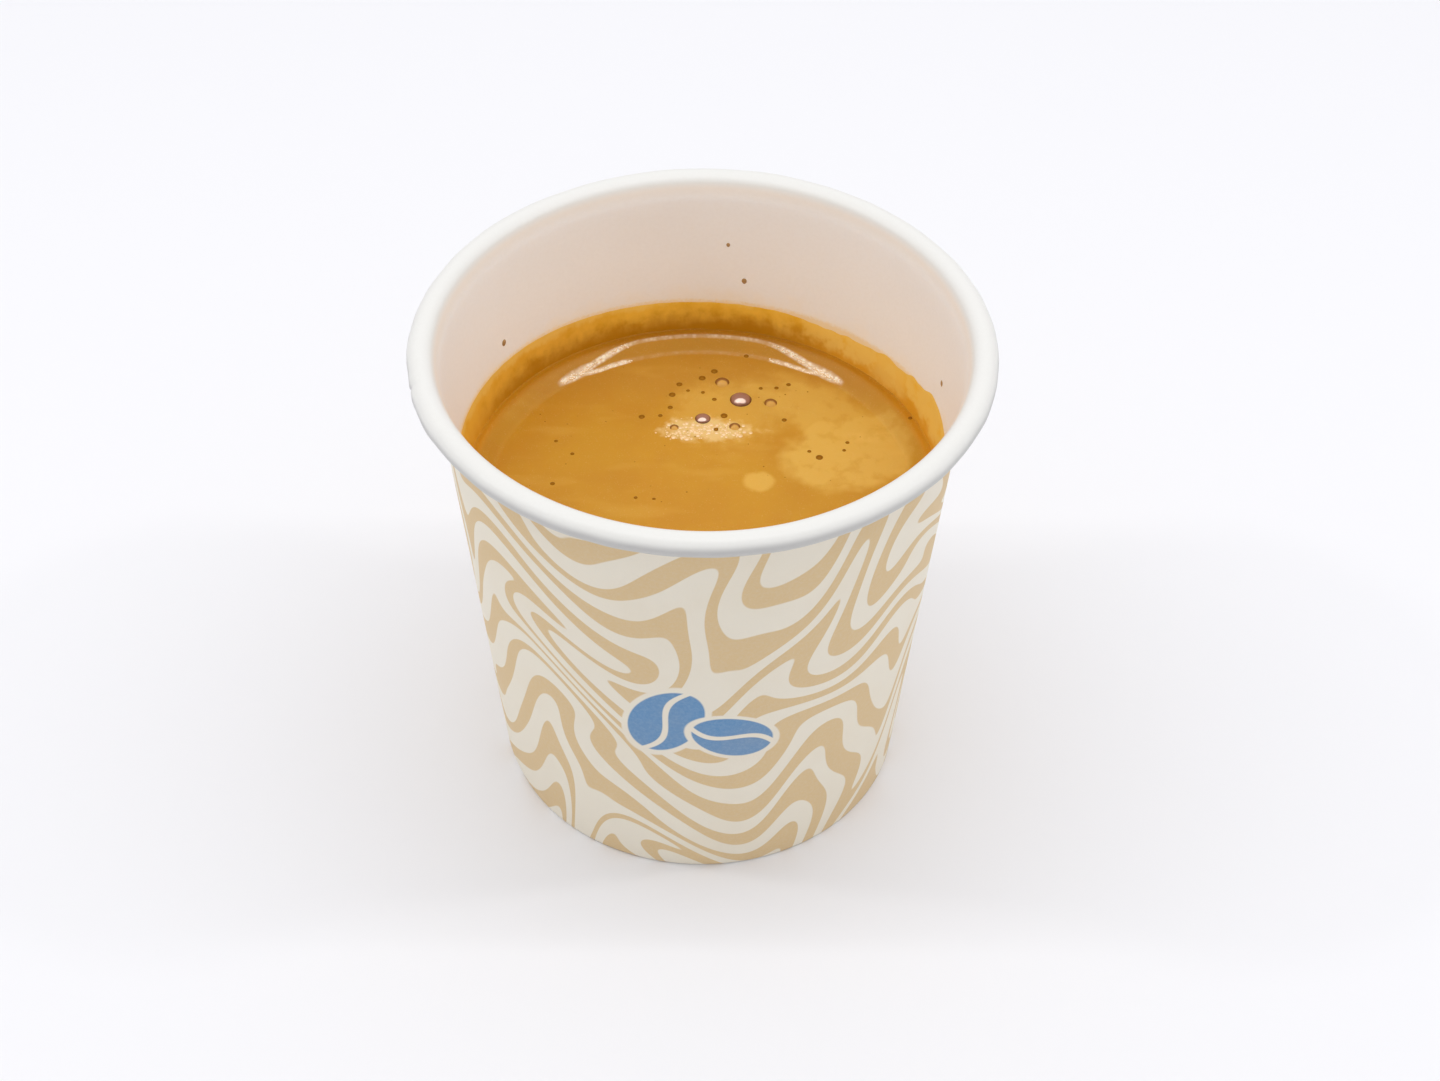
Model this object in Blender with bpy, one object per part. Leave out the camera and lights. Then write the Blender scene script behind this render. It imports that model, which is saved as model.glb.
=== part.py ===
"""A small paper cup of espresso, filled to the level of its crema.

Units are metres and +Z is up. The origin is the centre of the cup's foot, on the
surface that the cup stands on.
"""

import math

import bmesh
import bpy

# Driving dimensions of the cup
CUP_HEIGHT = 0.0586
RIM_RADIUS = 0.0310
FOOT_RADIUS = 0.0226
ROLL_WIDTH = 0.0028
ROLL_HEIGHT = 0.0024
BASE_RECESS = 0.0062

# The wall's straight part would be this wide at the roll's middle, but from some way below
# it bends out, ever more, and runs into the roll
WALL_TOP_RADIUS = 0.0282
FLARE_HEIGHT = 0.0016
FLARE_POWER = 2.0

# Paperboard, and the clearance between pieces that touch
WALL_PAPER = 0.0004
BASE_PAPER = 0.00035
GAP = 0.0003

# Folds and curls of the paperboard
FOOT_BEND = 0.0003
BASE_BEND = 0.0004
SKIRT_BOTTOM = 0.0013
ROLL_START_DEG = 155.0
ROLL_END_DEG = -110.0

# Side seam: the outer end of the sheet lies on the inner one
SEAM_EDGE_DEG = 191.25
SEAM_STEP_DEG = 0.5
LAP_WIDTH_DEG = 13.0
LAP_FADE_DEG = 22.0
LAP_RISE = 0.0003
LAP_LOW_START = 0.0005
LAP_LOW_END = 0.0020
LAP_HIGH_END = 0.0550
LAP_HIGH_START = 0.0557

# The drink: a flat middle, then a smooth rise to a narrow ledge that clings to the wall
DRINK_LEVEL = 0.0373
EDGE_RISE = 0.00135
EDGE_OUTER = 0.0006
EDGE_INNER = 0.0029

# Large bubbles: x and y of the centre, and radius
BUBBLES = (
    (0.0043, 0.0149, 0.00154),
    (0.0000, 0.0116, 0.00110),
    (0.0022, 0.0179, 0.00102),
    (0.0077, 0.0144, 0.00092),
    (0.0036, 0.0103, 0.00078),
)
BUBBLE_SINK = 0.55

# Plain finishes: colour, roughness and coat
PRINT_FINISH = ((0.72, 0.60, 0.45), 0.55, 0.0)
BOARD_FINISH = ((0.85, 0.83, 0.78), 0.6, 0.0)
CREMA_FINISH = ((0.55, 0.26, 0.05), 0.35, 0.3)

# Fineness of the round shapes
TURN_STEPS = 64
EDGE_STEPS = 8
MIDDLE_RINGS = (0.7, 0.35)
FLARE_STEPS = 4
ROLL_STEPS = 16
FOOT_BEND_STEPS = 2
BASE_BEND_STEPS = 3
BUBBLE_SEGMENTS = 14
BUBBLE_RINGS = 9
SMOOTH_ANGLE_DEG = 32.0

# Values worked out from the driving dimensions
ROLL_CENTRE_RADIUS = RIM_RADIUS - ROLL_WIDTH / 2
ROLL_CENTRE_HEIGHT = CUP_HEIGHT - ROLL_HEIGHT / 2
ROLL_MIDDLE_WIDTH = ROLL_WIDTH / 2 - WALL_PAPER / 2
ROLL_MIDDLE_HEIGHT = ROLL_HEIGHT / 2 - WALL_PAPER / 2
WALL_SLOPE = (WALL_TOP_RADIUS - FOOT_RADIUS) / ROLL_CENTRE_HEIGHT
FLARE_START = ROLL_CENTRE_HEIGHT - FLARE_HEIGHT
FLARE_END = ROLL_CENTRE_HEIGHT + ROLL_MIDDLE_HEIGHT * math.sin(math.radians(ROLL_START_DEG))
FLARE_END_RADIUS = ROLL_CENTRE_RADIUS + ROLL_MIDDLE_WIDTH * math.cos(math.radians(ROLL_START_DEG))
HEM_INSET = WALL_PAPER + BASE_PAPER + 2 * GAP
SKIRT_INSET = WALL_PAPER / 2 + GAP + BASE_PAPER / 2


def clear_scene():
    """Take every object out of the scene."""
    for obj in list(bpy.data.objects):
        bpy.data.objects.remove(obj, do_unlink=True)


def smooth_share(value):
    """Ease from 0 to 1 as the value goes from 0 to 1."""
    share = min(max(value, 0.0), 1.0)
    return share * share * (3.0 - 2.0 * share)


def wall_middle(height):
    """Radius of the middle of the wall's paper at a height."""
    return FOOT_RADIUS - WALL_PAPER / 2 + WALL_SLOPE * height


def wall_inside(height):
    """Radius of the wall's inner face at a height."""
    return wall_middle(height) - WALL_PAPER / 2


def arc(centre, half_width, half_height, start_deg, end_deg, steps):
    """Points along an elliptical arc in the plane of radius and height."""
    points = []
    for index in range(steps + 1):
        angle = math.radians(start_deg + (end_deg - start_deg) * index / steps)
        points.append((centre[0] + half_width * math.cos(angle), centre[1] + half_height * math.sin(angle)))
    return points


def turn_angles():
    """Angles round the axis, with the seam's edge and the foot of its step among them."""
    angles = {360.0 * index / TURN_STEPS for index in range(TURN_STEPS)}
    angles.add(SEAM_EDGE_DEG)
    angles.add(SEAM_EDGE_DEG - SEAM_STEP_DEG)
    return [math.radians(angle) for angle in sorted(angles)]


def lap_round(angle):
    """How far the lap stands out at an angle round the cup, from 0 to 1."""
    ahead = (math.degrees(angle) - SEAM_EDGE_DEG + SEAM_STEP_DEG / 2) % 360.0
    return 1.0 - smooth_share((ahead - LAP_WIDTH_DEG) / LAP_FADE_DEG)


def lap_up(height):
    """How far the lap stands out at a height, from 0 at the foot and the roll to 1 between."""
    rise = (height - LAP_LOW_START) / (LAP_LOW_END - LAP_LOW_START)
    fall = (LAP_HIGH_START - height) / (LAP_HIGH_START - LAP_HIGH_END)
    return min(max(min(rise, fall), 0.0), 1.0)


def offset_sides(path, half):
    """The two sides of a strip of paper, from its middle line: right side, then left side.

    Each point moves along the mean normal of the runs that meet there, by the amount that
    keeps the strip's thickness.
    """
    right = []
    left = []
    for index, (radius, height) in enumerate(path):
        runs = []
        for start, end in ((index - 1, index), (index, index + 1)):
            if start >= 0 and end < len(path):
                run = (path[end][0] - path[start][0], path[end][1] - path[start][1])
                length = math.hypot(*run)
                runs.append((run[1] / length, -run[0] / length))
        normal = (sum(run[0] for run in runs) / len(runs), sum(run[1] for run in runs) / len(runs))
        scale = half / (normal[0] ** 2 + normal[1] ** 2)
        right.append((radius + normal[0] * scale, height + normal[1] * scale))
        left.append((radius - normal[0] * scale, height - normal[1] * scale))
    return right, left


def flared(share):
    """A point of the wall's middle line on its flare, from 0 at the flare's start to 1 at the roll."""
    height = FLARE_START + (FLARE_END - FLARE_START) * share
    bend = FLARE_END_RADIUS - wall_middle(FLARE_END)
    return wall_middle(height) + bend * share**FLARE_POWER, height


def sheet_path():
    """Middle line of the cup's sheet: up-turned hem, foot fold, wall, flare and rolled rim."""
    bend_height = WALL_PAPER / 2 + FOOT_BEND
    hem_radius = wall_middle(bend_height) - HEM_INSET
    hem_top = BASE_RECESS - GAP
    hem_bend = (hem_radius + FOOT_BEND, bend_height)
    wall_bend = (wall_middle(bend_height) - FOOT_BEND, bend_height)
    path = [(wall_middle(hem_top) - HEM_INSET, hem_top)]
    path += arc(hem_bend, FOOT_BEND, FOOT_BEND, 180.0, 270.0, FOOT_BEND_STEPS)
    path += arc(wall_bend, FOOT_BEND, FOOT_BEND, 270.0, 360.0, FOOT_BEND_STEPS)
    path += [(wall_middle(height), height) for height in (LAP_LOW_END, LAP_HIGH_END)]
    path += [flared(index / FLARE_STEPS) for index in range(FLARE_STEPS)]
    roll_centre = (ROLL_CENTRE_RADIUS, ROLL_CENTRE_HEIGHT)
    roll_half = (ROLL_MIDDLE_WIDTH, ROLL_MIDDLE_HEIGHT)
    path += arc(roll_centre, *roll_half, ROLL_START_DEG, ROLL_END_DEG, ROLL_STEPS)
    return path


def base_path():
    """Middle line of the base: a flat disc whose edge is bent down into a skirt."""
    disc_height = BASE_RECESS + BASE_PAPER / 2
    bend_height = disc_height - BASE_BEND
    skirt_radius = wall_middle(bend_height) - SKIRT_INSET
    bend_centre = (skirt_radius - BASE_BEND, bend_height)
    path = [(0.0, disc_height)]
    path += arc(bend_centre, BASE_BEND, BASE_BEND, 90.0, 0.0, BASE_BEND_STEPS)
    path.append((wall_middle(SKIRT_BOTTOM) - SKIRT_INSET, SKIRT_BOTTOM))
    return path


def drink_outline():
    """Half section of the drink from the axis at the bottom, round to the axis at the top."""
    bottom = BASE_RECESS + BASE_PAPER + GAP
    ledge = DRINK_LEVEL + EDGE_RISE
    level_radius = wall_inside(DRINK_LEVEL)
    outline = [(0.0, bottom), (wall_inside(bottom) - GAP, bottom), (wall_inside(ledge) - GAP, ledge)]
    for index in range(EDGE_STEPS + 1):
        share = index / EDGE_STEPS
        inset = EDGE_OUTER + (EDGE_INNER - EDGE_OUTER) * share
        outline.append((level_radius - inset, ledge - EDGE_RISE * smooth_share(share)))
    outline += [((level_radius - EDGE_INNER) * share, DRINK_LEVEL) for share in MIDDLE_RINGS]
    outline.append((0.0, DRINK_LEVEL))
    return outline


def material(name, finish):
    """A plain glossy or matt finish of one colour."""
    colour, roughness, coat = finish
    made = bpy.data.materials.new(name)
    made.use_nodes = True
    shader = made.node_tree.nodes["Principled BSDF"]
    shader.inputs["Base Color"].default_value = (*colour, 1.0)
    shader.inputs["Roughness"].default_value = roughness
    shader.inputs["Metallic"].default_value = 0.0
    shader.inputs["Coat Weight"].default_value = coat
    return made


def finish_object(name, shape, finish):
    """Turn a shape into a named object with its finish and smooth round faces."""
    bmesh.ops.recalc_face_normals(shape, faces=shape.faces)
    bmesh.ops.triangulate(shape, faces=shape.faces)
    mesh = bpy.data.meshes.new(name)
    shape.to_mesh(mesh)
    shape.free()
    mesh.materials.append(finish)
    mesh.shade_smooth()
    mesh.set_sharp_from_angle(angle=math.radians(SMOOTH_ANGLE_DEG))
    obj = bpy.data.objects.new(name, mesh)
    bpy.context.scene.collection.objects.link(obj)
    return obj


def join_rings(shape, rings, closed):
    """Join neighbouring rings of points with faces; a point on the axis is a ring of one."""
    pairs = list(zip(rings, rings[1:]))
    if closed:
        pairs.append((rings[-1], rings[0]))
    for first, second in pairs:
        count = max(len(first), len(second))
        for index in range(count):
            following = (index + 1) % count
            corners = [first[index % len(first)], first[following % len(first)]]
            corners += [second[following % len(second)], second[index % len(second)]]
            shape.faces.new(list(dict.fromkeys(corners)))


def add_ring(shape, points, angles):
    """A ring of points round the axis, given as radius and height for each angle."""
    return [
        shape.verts.new((radius * math.cos(angle), radius * math.sin(angle), height))
        for (radius, height), angle in zip(points, angles)
    ]


def turned_rings(shape, outline, angles):
    """Rings for an outline that is the same all round."""
    rings = []
    for radius, height in outline:
        if radius == 0.0:
            rings.append([shape.verts.new((0.0, 0.0, height))])
        else:
            rings.append(add_ring(shape, [(radius, height)] * len(angles), angles))
    return rings


def make_cup_wall():
    """The cup's one sheet: hem, foot fold, lapped wall and rolled rim."""
    path = sheet_path()
    outside, inside = offset_sides(path, WALL_PAPER / 2)
    angles = turn_angles()
    shape = bmesh.new()
    rings = []
    for index, (radius, height) in enumerate(outside):
        on_wall = 2 * FOOT_BEND_STEPS + 2 < index < len(path) - ROLL_STEPS - 1
        share = lap_up(path[index][1]) if on_wall else 0.0
        points = [(radius + LAP_RISE * share * lap_round(angle), height) for angle in angles]
        rings.append(add_ring(shape, points, angles))
    rings += turned_rings(shape, reversed(inside), angles)
    join_rings(shape, rings, closed=True)
    return finish_object("cup_wall", shape, material("printed_paper", PRINT_FINISH))


def make_cup_base():
    """The round base, set up inside the foot, with its skirt in the fold."""
    under, upper = offset_sides(base_path(), BASE_PAPER / 2)
    outline = upper + under[::-1]
    shape = bmesh.new()
    join_rings(shape, turned_rings(shape, outline, turn_angles()), closed=False)
    return finish_object("cup_base", shape, material("base_paper", BOARD_FINISH))


def make_bubble(index, x, y, radius, group):
    """One bubble, a round body sunk most of the way into the crema."""
    mesh = bpy.data.meshes.new(f"bubble_{index}")
    shape = bmesh.new()
    bmesh.ops.create_uvsphere(shape, u_segments=BUBBLE_SEGMENTS, v_segments=BUBBLE_RINGS, radius=radius)
    shape.to_mesh(mesh)
    shape.free()
    bubble = bpy.data.objects.new(f"bubble_{index}", mesh)
    bubble.location = (x, y, DRINK_LEVEL - radius * BUBBLE_SINK)
    group.objects.link(bubble)


def make_espresso():
    """The drink in one piece, with its surface relief and its large bubbles."""
    shape = bmesh.new()
    join_rings(shape, turned_rings(shape, drink_outline(), turn_angles()), closed=False)
    drink = finish_object("espresso", shape, material("crema", CREMA_FINISH))
    group = bpy.data.collections.new("bubbles")
    bpy.context.scene.collection.children.link(group)
    for index, (x, y, radius) in enumerate(BUBBLES):
        make_bubble(index, x, y, radius, group)
    union = drink.modifiers.new("bubbles", "BOOLEAN")
    union.operation = "UNION"
    union.operand_type = "COLLECTION"
    union.collection = group
    union.solver = "EXACT"
    joined = drink.evaluated_get(bpy.context.evaluated_depsgraph_get())
    drink_mesh = bpy.data.meshes.new_from_object(joined)
    drink.modifiers.clear()
    drink.data = drink_mesh
    for bubble in list(group.objects):
        bpy.data.objects.remove(bubble, do_unlink=True)
    bpy.data.collections.remove(group)
    return drink


def main():
    """Build the cup and the drink in it."""
    clear_scene()
    make_cup_wall()
    make_cup_base()
    make_espresso()


main()
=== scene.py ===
"""Espresso with its crema in a small printed paper cup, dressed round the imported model.

Everything is in metres, +Z up, with the origin at the centre of the cup's foot. The cup's
sheet and the drink replace their plain solids with finer ones of the same form; the base
keeps its solid and gets a finish. The film, the froth, the bubbles and the specks that the
drink leaves are thin pieces of their own.
"""

import logging
import math
from collections.abc import Sequence
from dataclasses import dataclass
from enum import Enum

import bpy
import numpy as np
from mathutils import Matrix, Vector


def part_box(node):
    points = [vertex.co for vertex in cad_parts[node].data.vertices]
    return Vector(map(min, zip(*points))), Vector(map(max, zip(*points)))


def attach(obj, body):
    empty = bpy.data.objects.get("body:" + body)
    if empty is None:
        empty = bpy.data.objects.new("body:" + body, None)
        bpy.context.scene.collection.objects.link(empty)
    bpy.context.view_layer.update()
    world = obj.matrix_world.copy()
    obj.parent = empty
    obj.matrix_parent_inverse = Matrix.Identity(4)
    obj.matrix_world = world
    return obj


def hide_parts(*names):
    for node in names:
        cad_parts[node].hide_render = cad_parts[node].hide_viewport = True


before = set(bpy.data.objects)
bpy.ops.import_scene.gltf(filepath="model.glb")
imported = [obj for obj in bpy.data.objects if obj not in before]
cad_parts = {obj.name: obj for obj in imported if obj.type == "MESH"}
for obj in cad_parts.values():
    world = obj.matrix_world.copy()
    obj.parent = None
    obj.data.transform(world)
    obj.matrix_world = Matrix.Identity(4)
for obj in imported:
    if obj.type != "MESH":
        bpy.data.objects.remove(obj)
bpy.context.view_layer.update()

LOG = logging.getLogger("espresso")
MM = 0.001
FULL_TURN = 2.0 * math.pi
BODY = "root"

Colour = tuple[float, float, float]


class CadNode(Enum):
    """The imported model's nodes."""

    WALL = "cup_wall"
    BASE = "cup_base"
    DRINK = "espresso"


class Slot(Enum):
    """The record's material slots that the new pieces take."""

    PRINT = "printed_paper"
    CREMA = "crema"


class Edge(Enum):
    """How a row of rings ends: on the axis, or joined round to its start."""

    POLES = "poles"
    LOOP = "loop"


def srgb(red: int, green: int, blue: int) -> Colour:
    """A colour as seen on a screen, as the linear light that shaders take.

    Args:
        red: its red, from 0 to 255.
        green: its green, likewise.
        blue: its blue, likewise.

    Returns:
        The linear colour, from 0 to 1 each.
    """

    def linear(level: int) -> float:
        """One channel's linear share."""
        share = level / 255.0
        return share / 12.92 if share <= 0.04045 else ((share + 0.055) / 1.055) ** 2.4

    return linear(red), linear(green), linear(blue)


@dataclass(frozen=True)
class Oval:
    """An oval's middle and half sizes, and how far it is turned in degrees."""

    x: float
    y: float
    half_long: float
    half_wide: float
    turn: float = 0.0


def ease(values: np.ndarray | float, low: float, high: float) -> np.ndarray:
    """Smooth step of values from 0 at low to 1 at high, either way round."""
    share = np.clip((np.asarray(values, float) - low) / (high - low), 0.0, 1.0)
    return share * share * (3.0 - 2.0 * share)


class Signal:
    """A number that varies over a surface: a shader socket with Python's arithmetic."""

    def __init__(self, graph: "Tree", socket: bpy.types.NodeSocket) -> None:
        """Wrap a socket of a node tree."""
        self.graph = graph
        self.socket = socket

    def math(self, operation: str, *others: "Signal | float", clamp: bool = False) -> "Signal":
        """Put this number and others through a Math node.

        Args:
            operation: the Math node's operation.
            others: the node's further inputs, in order.
            clamp: whether the result is held between 0 and 1.

        Returns:
            The node's result.
        """
        inputs = dict(enumerate((self, *others)))
        node = self.graph.node("ShaderNodeMath", {"operation": operation, "use_clamp": clamp}, inputs)
        return Signal(self.graph, node.outputs[0])

    def __add__(self, other: "Signal | float") -> "Signal":
        """This plus other."""
        return self.math("ADD", other)

    def __sub__(self, other: "Signal | float") -> "Signal":
        """This less other."""
        return self.math("SUBTRACT", other)

    def __mul__(self, other: "Signal | float") -> "Signal":
        """This times other."""
        return self.math("MULTIPLY", other)

    def __truediv__(self, other: "Signal | float") -> "Signal":
        """This over other."""
        return self.math("DIVIDE", other)

    def __radd__(self, other: float) -> "Signal":
        """Other plus this."""
        return self.math("ADD", other)

    def __rmul__(self, other: float) -> "Signal":
        """Other times this."""
        return self.math("MULTIPLY", other)

    def __rsub__(self, other: float) -> "Signal":
        """Other less this."""
        return self.math("MULTIPLY", -1.0).math("ADD", other)

    def __abs__(self) -> "Signal":
        """This without its sign."""
        return self.math("ABSOLUTE")

    def rise(self, low: float, high: float) -> "Signal":
        """Smooth step of this number.

        Args:
            low: where the step is 0.
            high: where it is 1, on either side of low.

        Returns:
            The step.
        """
        if low > high:
            return 1.0 - self.rise(high, low)
        inputs = {"Value": self, "From Min": low, "From Max": high}
        node = self.graph.node("ShaderNodeMapRange", {"interpolation_type": "SMOOTHSTEP"}, inputs)
        return Signal(self.graph, node.outputs["Result"])

    def wave(self) -> "Signal":
        """Sine of this number of turns."""
        return self.math("MULTIPLY", FULL_TURN).math("SINE")

    def wider(self, other: "Signal") -> "Signal":
        """The larger of this and other."""
        return self.math("MAXIMUM", other)


class Tree:
    """A node tree, with one way to add each kind of node."""

    def __init__(self, tree: bpy.types.NodeTree) -> None:
        """Take the tree that nodes are added to."""
        self.tree = tree

    def feed(self, socket: bpy.types.NodeSocket, value: object) -> None:
        """Give a socket a value, or a link where the value comes from another node.

        Args:
            socket: the input that takes the value.
            value: a number, a vector, a colour, a socket or a signal.
        """
        if isinstance(value, Signal):
            value = value.socket
        if isinstance(value, bpy.types.NodeSocket):
            self.tree.links.new(value, socket)
        elif socket.type == "RGBA" and len(value) == 3:
            socket.default_value = (*value, 1.0)
        else:
            socket.default_value = value

    def node(
        self,
        kind: str,
        settings: dict[str, object] | None = None,
        inputs: dict[int | str, object] | None = None,
    ) -> bpy.types.Node:
        """Add a node.

        Args:
            kind: the node's type.
            settings: its properties, set before its sockets.
            inputs: its sockets' values or links, by name or number.

        Returns:
            The new node.
        """
        made = self.tree.nodes.new(kind)
        for name, value in (settings or {}).items():
            setattr(made, name, value)
        for key, value in (inputs or {}).items():
            self.feed(made.inputs[key], value)
        return made

    def axes(self, vector: object) -> tuple[Signal, ...]:
        """The three numbers of a vector."""
        node = self.node("ShaderNodeSeparateXYZ", inputs={"Vector": vector})
        return tuple(Signal(self, socket) for socket in node.outputs)

    def vector(
        self,
        operation: str,
        first: object,
        second: object = None,
        scale: Signal | float | None = None,
    ) -> object:
        """Put one or two vectors through a Vector Math node.

        Args:
            operation: the node's operation.
            first: the vector or colour to work on.
            second: another one, where the operation takes two.
            scale: a number, where the operation takes one.

        Returns:
            The socket of the result.
        """
        inputs: dict[int | str, object] = {0: first}
        if second is not None:
            inputs[1] = second
        if scale is not None:
            inputs["Scale"] = scale
        return self.node("ShaderNodeVectorMath", {"operation": operation}, inputs).outputs["Vector"]

    def combine(self, x: Signal | float, y: Signal | float, z: Signal | float) -> object:
        """A vector from three numbers."""
        return self.node("ShaderNodeCombineXYZ", inputs={0: x, 1: y, 2: z}).outputs["Vector"]

    def noise(self, place: object, size: float, detail: float = 2.0, roughness: float = 0.5) -> Signal:
        """Smooth noise about 0.5 at a place in millimetres, with features of a size in millimetres."""
        inputs = {"Vector": place, "Scale": 1.0 / size, "Detail": detail, "Roughness": roughness}
        return Signal(self, self.node("ShaderNodeTexNoise", inputs=inputs).outputs[0])

    def cells(self, place: object, size: float) -> Signal:
        """Distance to the middle of the nearest cell, for cells of a size in millimetres."""
        node = self.node("ShaderNodeTexVoronoi", inputs={"Vector": place, "Scale": 1.0 / size})
        return Signal(self, node.outputs["Distance"])

    def mix(self, share: Signal | float, low: object, high: object) -> object:
        """A colour between low and high."""
        node = self.node("ShaderNodeMix", {"data_type": "RGBA"}, {0: share, 6: low, 7: high})
        return node.outputs[2]


class Graph(Tree):
    """One material's node tree, with places in millimetres and its surface shader."""

    def __init__(self, name: str) -> None:
        """Start a material with an empty surface shader.

        Args:
            name: the material's name.
        """
        self.material = bpy.data.materials.new(name)
        self.material.use_nodes = True
        super().__init__(self.material.node_tree)
        self.shader = self.tree.nodes["Principled BSDF"]
        coordinates = self.node("ShaderNodeTexCoord")
        self.place = self.vector("SCALE", coordinates.outputs["Object"], scale=1.0 / MM)
        self.x, self.y, self.z = self.axes(self.place)

    def radius(self) -> Signal:
        """Distance from the cup's axis, in millimetres."""
        return (self.x.math("POWER", 2.0) + self.y.math("POWER", 2.0)).math("SQRT")

    def angle(self) -> Signal:
        """Angle round the cup's axis, in radians, from the right towards the back."""
        return self.y.math("ARCTAN2", self.x)

    def bump(self, height: Signal, depth: float) -> None:
        """Bend the shader's normal by a height of 0 to 1, as deep as depth in metres."""
        inputs = {"Height": height, "Distance": depth, "Strength": 1.0}
        self.feed(self.shader.inputs["Normal"], self.node("ShaderNodeBump", inputs=inputs).outputs["Normal"])

    def surface(self, **values: object) -> None:
        """Set the shader's sockets; an underscore in a name stands for a space."""
        for name, value in values.items():
            self.feed(self.shader.inputs[name.replace("_", " ")], value)

    def spot(self, oval: Oval) -> Signal:
        """Distance from the middle of an oval seen from above, 1 on its edge."""
        return self.distance(self.x, self.y, oval)

    def distance(self, across: Signal, up: Signal, oval: Oval) -> Signal:
        """Distance from an oval's middle, 1 on its edge.

        Args:
            across: the first coordinate.
            up: the second one.
            oval: the oval in these two.

        Returns:
            The distance.
        """
        along, beside = self.turned(across - oval.x, up - oval.y, oval.turn)
        squares = (along / oval.half_long).math("POWER", 2.0) + (beside / oval.half_wide).math("POWER", 2.0)
        return squares.math("SQRT")

    def turned(self, across: Signal, up: Signal, turn: float) -> tuple[Signal, Signal]:
        """Two coordinates turned by an angle in degrees."""
        cosine, sine = math.cos(math.radians(turn)), math.sin(math.radians(turn))
        return across * cosine + up * sine, up * cosine - across * sine


@dataclass(frozen=True)
class Ripple:
    """A smooth unevenness round the axis: a few waves with seeded phases."""

    seed: int
    size: float
    first: int = 2
    last: int = 9
    fade: float = 0.6

    def __call__(self, angles: np.ndarray | float) -> np.ndarray:
        """The unevenness at some angles.

        Args:
            angles: the angles round the axis.

        Returns:
            The unevenness of each, within about size either way.
        """
        draw = np.random.default_rng(self.seed)
        total = np.zeros_like(angles, dtype=float)
        weight = 0.0
        for count in range(self.first, self.last + 1):
            share = (self.first / count) ** self.fade
            total += share * np.cos(count * angles + draw.uniform(0.0, FULL_TURN))
            weight += share * share / 2
        return self.size * total / (2.0 * math.sqrt(weight))


@dataclass(frozen=True)
class CupForm:
    """The cup's sizes, and the curves that its pieces share."""

    height: float
    rim_radius: float
    foot_radius: float = 22.6 * MM
    wall_top_radius: float = 28.2 * MM
    flare_height: float = 1.6 * MM
    flare_power: float = 2.0
    roll_width: float = 2.8 * MM
    roll_height: float = 2.4 * MM
    roll_start: float = 155.0
    roll_end: float = -110.0
    base_recess: float = 6.2 * MM
    paper: float = 0.4 * MM
    base_paper: float = 0.35 * MM
    gap: float = 0.3 * MM
    foot_bend: float = 0.3 * MM
    seam: float = math.radians(191.25)
    lap_width: float = math.radians(13.0)
    lap_fade: float = math.radians(22.0)
    lap_rise: float = 0.3 * MM
    inner_lap: float = 0.12 * MM
    wall_wave: Ripple = Ripple(seed=21, size=0.05 * MM, first=3, last=11)

    @property
    def roll_centre(self) -> tuple[float, float]:
        """Radius and height of the middle of the rolled rim."""
        return self.rim_radius - self.roll_width / 2, self.height - self.roll_height / 2

    @property
    def roll_middle(self) -> tuple[float, float]:
        """Half width and half height of the roll, to the middle of its paper."""
        return (self.roll_width - self.paper) / 2, (self.roll_height - self.paper) / 2

    @property
    def slope(self) -> float:
        """How far the wall leans out for each metre up."""
        return (self.wall_top_radius - self.foot_radius) / self.roll_centre[1]

    @property
    def flare_start(self) -> float:
        """Height where the wall starts to flare out to the roll."""
        return self.roll_centre[1] - self.flare_height

    def wall_middle(self, height: np.ndarray | float) -> np.ndarray | float:
        """Radius of the middle of the wall's paper at a height, as if the wall had no flare."""
        return self.foot_radius - self.paper / 2 + self.slope * height

    @property
    def join(self) -> tuple[float, float]:
        """Where the flare runs into the roll.

        Returns:
            The radius and the height there of the middle of the paper.
        """
        turn = math.radians(self.roll_start)
        centre, half = self.roll_centre, self.roll_middle
        return centre[0] + half[0] * math.cos(turn), centre[1] + half[1] * math.sin(turn)

    def flared_middle(self, height: np.ndarray) -> np.ndarray:
        """Radius of the middle of the wall's paper, flare and all.

        Args:
            height: the heights.

        Returns:
            The radius at each.
        """
        radius, top = self.join
        share = np.clip((height - self.flare_start) / (top - self.flare_start), 0.0, 1.0)
        return self.wall_middle(height) + (radius - self.wall_middle(top)) * share**self.flare_power

    def wall_inside(self, height: np.ndarray | float) -> np.ndarray | float:
        """Radius of the wall's inner face at a height."""
        return self.wall_middle(height) - self.paper / 2

    def past_seam(self, angles: np.ndarray | float) -> np.ndarray:
        """Angle past the seam's outer edge, from 0 to a full turn."""
        return np.mod(angles - self.seam, FULL_TURN)

    def top_share(self, height: np.ndarray | float) -> np.ndarray:
        """How much of the rim's unevenness the wall takes at a height."""
        return ease(height, self.height - 9 * MM, self.height - 1.8 * MM)

    def bulge(self, height: np.ndarray | float, angles: np.ndarray | float) -> np.ndarray:
        """How far the wall waves out from a true cone at some heights and angles."""
        return ease(height, 4 * MM, 20 * MM) * (1.0 - self.top_share(height)) * self.wall_wave(angles)

    def inner_end(self, angles: np.ndarray | float) -> np.ndarray:
        """Where the sheet's inner end lies under the lap: 1 there and 0 past it."""
        return ease(self.past_seam(angles), self.lap_width, self.lap_width - math.radians(0.4))

    def face_inside(self, height: np.ndarray | float, angles: np.ndarray | float) -> np.ndarray:
        """Radius of the wall's inner face, with its waves and its lap."""
        return self.wall_inside(height) + self.bulge(height, angles) - self.inner_end(angles) * self.inner_lap


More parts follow.
